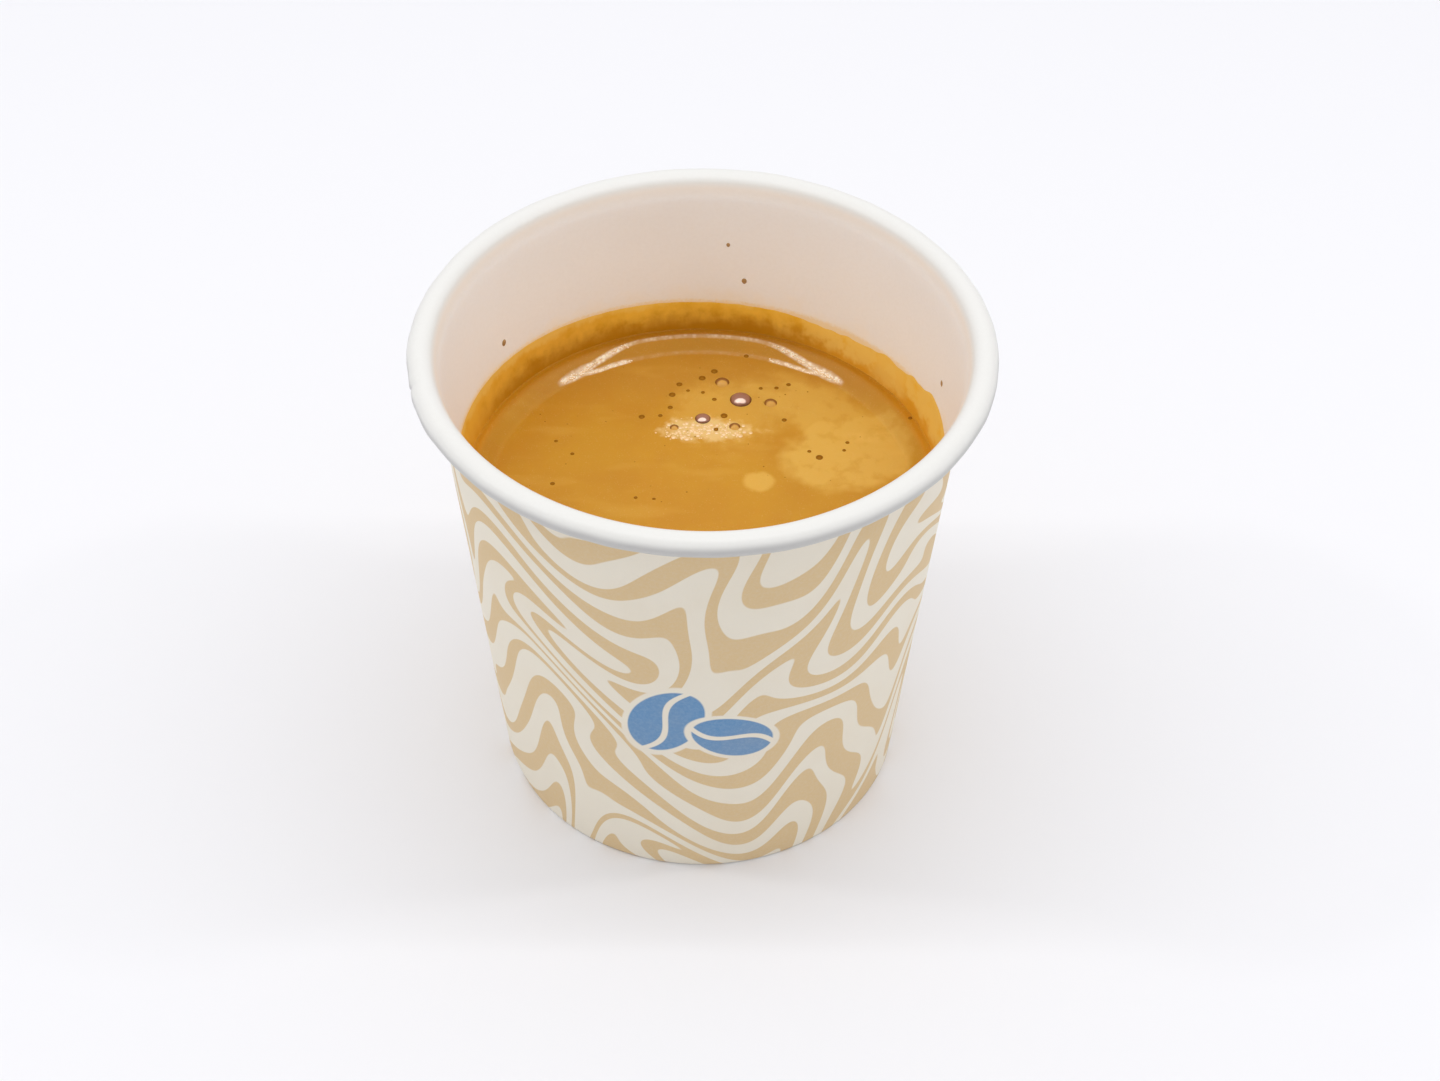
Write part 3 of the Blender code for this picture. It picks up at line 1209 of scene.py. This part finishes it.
@dataclass
class Drink:
    """The espresso: one body up to its crema, just touching into the wall."""

    drink: DrinkForm
    steps: int = 360
    reach: float = 0.12 * MM
    bottom: float = 6.75 * MM
    edge_width: float = 4.6 * MM
    edge_rings: int = 60
    inner_rings: int = 46
    lean_width: float = 3.0 * MM

    def build(self, crema: bpy.types.Material) -> bpy.types.Object:
        """Make the drink.

        Args:
            crema: its finish.

        Returns:
            The piece.
        """
        form = self.drink.form
        angles = np.linspace(0.0, FULL_TURN, self.steps, endpoint=False)
        level_radius = form.wall_inside(self.drink.level)
        edge = np.linspace(0.0, self.edge_width, self.edge_rings)
        inner = np.linspace(self.edge_width, level_radius, self.inner_rings)[1:-1]
        insets = np.concatenate([edge, inner])
        radii = level_radius - insets
        spread = np.repeat(radii[:, None], self.steps, axis=1)
        turned = np.repeat(angles[None, :], len(radii), axis=0)
        heights = self.drink.surface(spread, turned)
        lean = (heights - self.drink.level) * form.slope
        spread = spread + lean * ease(insets, self.lean_width, 0.0)[:, None]
        rim = heights[0]
        side_heights = np.stack([np.full_like(rim, self.bottom), rim - 2.0 * MM, rim])
        side_radii = form.wall_inside(side_heights) + self.reach
        all_radii = np.vstack([side_radii, spread[1:]])
        all_heights = np.vstack([side_heights, heights[1:]])
        points = turn_points(all_radii, all_heights, angles)
        poles = np.array([(0.0, 0.0, self.bottom), (0.0, 0.0, float(heights[-1].mean()))])
        faces = ring_faces(len(all_radii), self.steps, Edge.POLES)
        piece = make_piece("espresso_crema", np.vstack([points, poles]), faces, [crema], sharp=70.0)
        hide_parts(CadNode.DRINK.value)
        return piece


@dataclass(frozen=True)
class Blob:
    """One small round thing: its place seen from above, its radius and how far it is sunk."""

    x: float
    y: float
    radius: float
    sunk: float = 0.55


def blob_mesh(
    places: np.ndarray,
    radii: np.ndarray,
    squash: float,
    around: int,
    down: int,
) -> tuple[np.ndarray, list[tuple[int, ...]]]:
    """Round bodies at some places, joined in one set of points and faces.

    Args:
        places: the middles.
        radii: their radii.
        squash: the share of its height that each keeps.
        around: points round each.
        down: rings on each, between its poles.

    Returns:
        The points and the faces.
    """
    angles = np.linspace(0.0, FULL_TURN, around, endpoint=False)
    falls = np.linspace(0.0, math.pi, down + 2)[1:-1]
    spread = np.repeat(np.sin(falls)[::-1, None], around, axis=1)
    lift = np.repeat(np.cos(falls)[::-1, None], around, axis=1)
    unit = np.vstack([turn_points(spread, lift, angles), [(0.0, 0.0, -1.0), (0.0, 0.0, 1.0)]])
    single = ring_faces(down, around, Edge.POLES)
    points: list[np.ndarray] = []
    faces: list[tuple[int, ...]] = []
    for place, radius in zip(places, radii):
        start = len(points) * len(unit)
        faces += [tuple(corner + start for corner in face) for face in single]
        points.append(place + unit * np.array([radius, radius, radius * squash]))
    return np.vstack(points), faces


@dataclass
class Bubbles:
    """The bubbles, pinholes and froth on the crema."""

    drink: DrinkForm
    large: tuple[Blob, ...] = (Blob(4.3, 14.9, 1.54), Blob(0.0, 11.6, 1.10))
    arched: tuple[Blob, ...] = (
        Blob(2.2, 17.9, 1.02),
        Blob(7.7, 14.4, 0.92),
        Blob(3.6, 10.3, 0.78),
        Blob(-3.2, 10.1, 0.62),
    )
    clusters: tuple[Blob, ...] = (Blob(0.2, 9.8, 1.7), Blob(3.2, 9.7, 1.5), Blob(-2.4, 9.3, 1.4))
    glint_arcs: GlintArcs = GlintArcs()
    holes: tuple[tuple[float, float, float], ...] = (
        (1.3, 19.8, 0.40), (-0.1, 18.6, 0.42), (-2.7, 17.5, 0.36), (-3.5, 15.7, 0.40), (-3.7, 13.5, 0.30),
        (1.3, 14.9, 0.28), (2.4, 12.1, 0.42), (1.5, 9.8, 0.32), (-6.9, 11.9, 0.36), (-4.8, 12.1, 0.26),
        (6.6, 16.9, 0.24), (8.4, 17.0, 0.26), (9.8, 17.6, 0.28), (9.2, 11.5, 0.30), (5.0, 22.6, 0.30),
        (0.0, 16.1, 0.24), (-1.7, 16.4, 0.22), (13.0, 5.2, 0.42), (16.2, 7.7, 0.24), (15.8, 6.4, 0.22),
        (11.9, 6.2, 0.24), (-14.5, 5.6, 0.24), (-16.4, 7.7, 0.22), (-16.5, 0.7, 0.28), (-7.3, -1.5, 0.22),
        (-5.3, -1.7, 0.20), (23.3, 10.4, 0.26),
    )
    hole_spread: float = 1.35
    froth_count: int = 210
    froth_front: float = 8.1
    bead_count: int = 130
    stray_count: int = 60
    stray_reach: float = 22.5
    squash: float = 0.92

    def rest_on(self, blobs: Sequence[Blob]) -> tuple[np.ndarray, np.ndarray]:
        """Where some blobs sit in the surface.

        Args:
            blobs: the blobs.

        Returns:
            Their middles and their radii, in metres.
        """
        x = np.array([blob.x for blob in blobs]) * MM
        y = np.array([blob.y for blob in blobs]) * MM
        radii = np.array([blob.radius for blob in blobs]) * MM
        sunk = np.array([blob.sunk for blob in blobs])
        top = self.drink.surface(np.hypot(x, y), np.arctan2(y, x))
        return np.stack([x, y, top - radii * sunk], axis=1), radii

    def add(self, name: str, blobs: Sequence[Blob], film: BubbleFilm, around: int, down: int) -> None:
        """Make one piece of some blobs.

        Args:
            name: the piece's name.
            blobs: the bubbles.
            film: their finish.
            around: points round each.
            down: rings on each.
        """
        places, radii = self.rest_on(blobs)
        points, faces = blob_mesh(places, radii, self.squash, around, down)
        piece = make_piece(name, points, faces, [film.build()])

    def build(self) -> None:
        """Make the large bubbles, the pinholes, the froth and the beads of the edge."""
        # each finish's third tone is its painted highlight; the arches' golden one is painted light on their
        # near side
        tones = srgb(104, 60, 24), srgb(156, 108, 86), srgb(255, 226, 210)
        self.add("crema_bubbles", self.large, BubbleFilm("bubble_film", *tones), 40, 22)
        tones = srgb(136, 84, 28), srgb(142, 92, 46), srgb(212, 160, 78)
        arch = BubbleFilm("bubble_arch", *tones, spot=Oval(0.05, -0.62, 0.70, 0.62), gloss=0.2)
        self.add("crema_arches", self.arched, arch, 32, 18)
        tones = srgb(152, 100, 14), srgb(144, 92, 12), srgb(156, 104, 20)
        pinhole = BubbleFilm("pinhole", *tones, roughness=0.5, gloss=0.1)
        self.add("crema_pinholes", self.pinholes(), pinhole, 14, 8)
        tones = srgb(220, 170, 92), srgb(232, 192, 132), srgb(246, 218, 176)
        self.add("crema_froth", self.froth(), BubbleFilm("froth", *tones, roughness=0.36), 14, 8)
        # the edge beads are tiny bubbles, made pale as a painted highlight along the glint arcs
        tones = srgb(244, 210, 158), srgb(255, 236, 208), srgb(255, 246, 232)
        self.add("crema_edge_beads", self.edge_beads(), BubbleFilm("edge_bead_highlight", *tones, roughness=0.2), 12, 7)

    def pinholes(self) -> list[Blob]:
        """Small dark bubbles: a loose ring about the large ones, and a few far ones.

        Returns:
            The bubbles.
        """
        draw = np.random.default_rng(52)
        blobs = [Blob(x, y, radius * self.hole_spread, 0.62) for x, y, radius in self.holes]
        for _ in range(self.stray_count):
            reach = self.stray_reach * math.sqrt(draw.uniform())
            turn = draw.uniform(0.0, FULL_TURN)
            blobs.append(Blob(reach * math.cos(turn), reach * math.sin(turn), draw.uniform(0.06, 0.14), 0.7))
        return blobs

    def froth(self) -> list[Blob]:
        """Small pale bubbles: a few heaps along the near lip of the froth, and a thin veil behind.

        Returns:
            The bubbles.
        """
        draw = np.random.default_rng(77)
        blobs: list[Blob] = []
        kept = (*self.large, *self.arched)
        while len(blobs) < self.froth_count:
            heap = self.clusters[draw.choice(len(self.clusters), p=(0.38, 0.34, 0.28))]
            reach = heap.radius * (1.0 if draw.uniform() < 0.88 else 2.0)
            x, y = draw.normal(heap.x, reach * 0.55), draw.normal(heap.y, reach * 0.45)
            if y < self.froth_front or any(math.hypot(x - big.x, y - big.y) < big.radius for big in kept):
                continue
            blobs.append(Blob(x, y, 0.12 + 0.38 * draw.uniform() ** 2, draw.uniform(0.62, 0.85)))
        return blobs

    def edge_beads(self) -> list[Blob]:
        """Tiny bubbles strung along the top and the foot of the edge's rise, largest near both ends.

        Returns:
            The bubbles.
        """
        draw = np.random.default_rng(93)
        edge_radius = self.drink.form.wall_inside(self.drink.level) / MM
        blobs: list[Blob] = []
        wet = self.glint_arcs
        for side in (-1.0, 1.0):
            for _ in range(self.bead_count):
                away = draw.uniform(20.0, wet.end - 2.0)
                upper = wet.shoulder + wet.drop * float(ease(away, *wet.drop_span))
                lower = wet.foot - wet.meet * float(ease(away, *wet.meet_span))
                turn = math.radians(wet.middle + side * away)
                radius = edge_radius - draw.choice([upper, lower]) - draw.normal(0.0, 0.09)
                size = draw.uniform(0.06, 0.15) + 0.06 * float(ease(away, 30.0, 37.0))
                blobs.append(Blob(radius * math.cos(turn), radius * math.sin(turn), size, 0.45))
        return blobs


@dataclass
class WallFilm:
    """What the drink leaves on the wall above it, thin and ragged at its top."""

    drink: DrinkForm
    top: float = 42.75 * MM
    oval: float = 0.5 * MM
    oval_turn: float = math.radians(165.0)
    ragged_middle: float = 32.0
    ragged_reach: float = 30.0
    depth_in_paper: float = 0.06 * MM
    lifts: tuple[tuple[float, float, float], ...] = (
        (15.0, 9.0, 1.2),
        (55.0, 12.0, -0.5),
        (200.0, 25.0, -0.4),
    )
    thickness: float = 0.11 * MM
    steps: int = 900
    rings: int = 16
    ragged: Ripple = Ripple(seed=61, size=0.20 * MM, first=20, last=90, fade=0.3)

    @staticmethod
    def near(angles: np.ndarray, middle: float, reach: float) -> np.ndarray:
        """How near some angles are to a middle one, from 1 there to 0 far beyond its reach.

        Args:
            angles: the angles.
            middle: the middle one, in degrees.
            reach: how far it reaches either way, in degrees.

        Returns:
            The nearness of each.
        """
        away = np.mod(np.degrees(angles) - middle + 180.0, 360.0) - 180.0
        return np.exp(-((away / reach) ** 2))

    def edge(self, angles: np.ndarray) -> np.ndarray:
        """Height of the film's top: even at the back, ragged on the right.

        Args:
            angles: the angles round the cup.

        Returns:
            The height at each.
        """
        height = self.top + self.oval * np.cos(2 * (angles - self.oval_turn))
        for middle, reach, lift in self.lifts:
            height = height + lift * MM * self.near(angles, middle, reach)
        rough = self.near(angles, self.ragged_middle, self.ragged_reach)
        return height + self.ragged(angles) * (0.12 + rough)

    def build(self, stain: bpy.types.Material) -> bpy.types.Object:
        """Make the film: a thin closed skin whose back lies just in the paper.

        Args:
            stain: its finish.

        Returns:
            The piece.
        """
        form = self.drink.form
        angles = np.linspace(0.0, FULL_TURN, self.steps, endpoint=False)
        share = np.linspace(0.0, 1.0, self.rings)[:, None]
        low = self.drink.level + self.drink.edge_rise - 0.3 * MM
        heights = low + (self.edge(angles)[None, :] - low) * share
        wall = form.face_inside(heights, angles[None, :])
        lumps = 1.0 + self.ragged(angles)[None, :] / self.ragged.size * 0.25
        front = wall - self.thickness * np.sqrt(np.clip(1.0 - share, 0.0, 1.0)) * lumps
        radii = np.vstack([wall + self.depth_in_paper, front[::-1]])
        points = turn_points(radii, np.vstack([heights, heights[::-1]]), angles)
        faces = ring_faces(len(radii), self.steps, Edge.LOOP)
        piece = make_piece("crema_wall_film", points, faces, [stain])
        return piece


@dataclass
class Specks:
    """A few dried flecks of coffee on the wall, above the film."""

    form: CupForm
    known: tuple[tuple[float, float, float], ...] = (
        (146.5, 45.65, 0.34),
        (79.9, 45.5, 0.30),
        (84.1, 50.15, 0.22),
        (13.8, 47.2, 0.30),
    )
    stray_count: int = 9
    stray_turns: tuple[float, float] = (195.0, 345.0)
    stray_heights: tuple[float, float] = (44.5, 52.0)
    stray_sizes: tuple[float, float] = (0.10, 0.25)
    stretch: float = 1.35
    flatten: float = 0.72

    def build(self, finish: bpy.types.Material) -> bpy.types.Object:
        """Make the flecks as low round scabs.

        Args:
            finish: their finish.

        Returns:
            The piece.
        """
        draw = np.random.default_rng(88)
        flecks = list(self.known)
        for _ in range(self.stray_count):
            spans = (self.stray_turns, self.stray_heights, self.stray_sizes)
            flecks.append(tuple(draw.uniform(*span) for span in spans))
        places = []
        for turn, height, _ in flecks:
            angle = math.radians(turn)
            radius = self.form.face_inside(height * MM, angle)
            places.append((radius * math.cos(angle), radius * math.sin(angle), height * MM))
        sizes = np.array([fleck[2] for fleck in flecks]) * MM
        points, faces = blob_mesh(np.array(places), sizes, self.stretch, 12, 7)
        middle = np.repeat(np.array(places), len(points) // len(places), axis=0)
        out = middle * np.array([1.0, 1.0, 0.0])
        out /= np.linalg.norm(out, axis=1)[:, None]
        depth = ((points - middle) * out).sum(axis=1)[:, None]
        points = points - out * depth * self.flatten
        piece = make_piece("wall_specks", points, faces, [finish])
        return piece


@dataclass(frozen=True)
class Softbox:
    """A flat lamp that faces the drink: its place, its width and depth, and its power in watts."""

    name: str
    place: tuple[float, float, float]
    size: tuple[float, float]
    power: float
    target: tuple[float, float, float] = (0.0, 0.0, 40.0 * MM)

    def hang(self) -> None:
        """Add the lamp to the scene."""
        data = bpy.data.lights.new(self.name, "AREA")
        data.shape = "RECTANGLE"
        data.size, data.size_y = self.size
        data.energy = self.power
        lamp = bpy.data.objects.new(self.name, data)
        back = (Vector(self.place) - Vector(self.target)).normalized()
        side = Vector((0.0, 1.0, 0.0)).cross(back).normalized()
        axes = Matrix((side, back.cross(side), back)).transposed().to_4x4()
        lamp.matrix_world = Matrix.Translation(self.place) @ axes
        bpy.context.scene.collection.objects.link(lamp)


@dataclass
class Studio:
    """The floor, the light and the camera."""

    distance: float = 330.0 * MM
    elevation: float = math.radians(47.592)
    aim: tuple[float, float, float] = (2.005 * MM, 0.0, 29.398 * MM)
    roll: float = math.radians(-0.684)
    focal_pixels: float = 2761.0
    frame_width: float = 1440.0
    sensor: float = 36.0
    floor_half: float = 4.0
    horizon: Colour = (0.565, 0.565, 0.585)
    zenith: Colour = (0.87, 0.87, 0.895)
    zenith_height: float = 0.8
    back_light: float = 0.10
    lamps: tuple[Softbox, ...] = (
        Softbox("softbox_top", (0.0, 0.0, 0.55), (0.86, 0.014), 0.95),
        Softbox("softbox_left", (-0.47, 0.01, 0.50), (0.05, 0.05), 0.25),
        Softbox("softbox_right", (0.47, 0.01, 0.50), (0.05, 0.05), 0.25),
    )

    def build(self) -> None:
        """Make the whole studio."""
        self.camera()
        self.floor()
        self.world()
        for lamp in self.lamps:
            lamp.hang()
        bpy.context.scene.view_settings.view_transform = "Standard"

    def camera(self) -> None:
        """Place the camera as the photograph's was."""
        stand = Vector((0.0, -math.cos(self.elevation), math.sin(self.elevation))) * self.distance
        ahead = (Vector(self.aim) - stand).normalized()
        right = ahead.cross(Vector((0.0, 0.0, 1.0))).normalized()
        down = ahead.cross(right)
        cosine, sine = math.cos(self.roll), math.sin(self.roll)
        right, down = right * cosine + down * sine, down * cosine - right * sine
        data = bpy.data.cameras.new("camera")
        data.sensor_width = self.sensor
        data.lens = self.focal_pixels / self.frame_width * self.sensor
        data.clip_start, data.clip_end = 0.01, 50.0
        camera = bpy.data.objects.new("camera", data)
        axes = Matrix((right, -down, -ahead)).transposed().to_4x4()
        camera.matrix_world = Matrix.Translation(stand) @ axes
        bpy.context.scene.collection.objects.link(camera)
        bpy.context.scene.camera = camera

    def floor(self) -> None:
        """Lay the floor under the cup."""
        half = self.floor_half
        corners = [(-half, -half, 0.0), (half, -half, 0.0), (half, half, 0.0), (-half, half, 0.0)]
        mesh = bpy.data.meshes.new("studio_floor")
        mesh.from_pydata(corners, [], [(0, 1, 2, 3)])
        mesh.materials.append(StudioFloor().build())
        floor = bpy.data.objects.new("studio_floor", mesh)
        bpy.context.scene.collection.objects.link(floor)

    def world(self) -> None:
        """Light from all round, brightest overhead and a little brighter from behind the cup."""
        world = bpy.data.worlds.new("studio_light")
        bpy.context.scene.world = world
        world.use_nodes = True
        tree = Tree(world.node_tree)
        _, away, upward = tree.axes(tree.node("ShaderNodeTexCoord").outputs["Generated"])
        colour = tree.mix(upward.rise(0.0, self.zenith_height), self.horizon, self.zenith)
        leaned = tree.vector("SCALE", colour, scale=1.0 + away * self.back_light)
        tree.feed(world.node_tree.nodes["Background"].inputs["Color"], leaned)


def main() -> None:
    """Dress the model and set up the studio."""
    logging.basicConfig(level=logging.INFO, format="%(name)s: %(message)s")
    low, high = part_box(CadNode.WALL.value)
    form = CupForm(height=high[2] - low[2], rim_radius=(high[0] - low[0]) / 2)
    drink = DrinkForm(form)
    PaperSheet(form).build(PrintedPaper(form).build(), LinedPaper().build())
    Drink(drink).build(Crema(form.wall_inside(drink.level)).build())
    Bubbles(drink).build()
    WallFilm(drink).build(WallStain().build())
    # the specks' third tone is a small painted highlight
    tones = srgb(176, 140, 92), srgb(188, 156, 110), srgb(196, 164, 118)
    Specks(form).build(BubbleFilm("speck", *tones, roughness=0.5).build())
    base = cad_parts[CadNode.BASE.value]
    base.data.materials.clear()
    base.data.materials.append(BoardPaper().build())
    LOG.info("%s: the packed piece, with a finish of its own", CadNode.BASE.value)
    Studio().build()


if __name__ == "__main__":
    main()
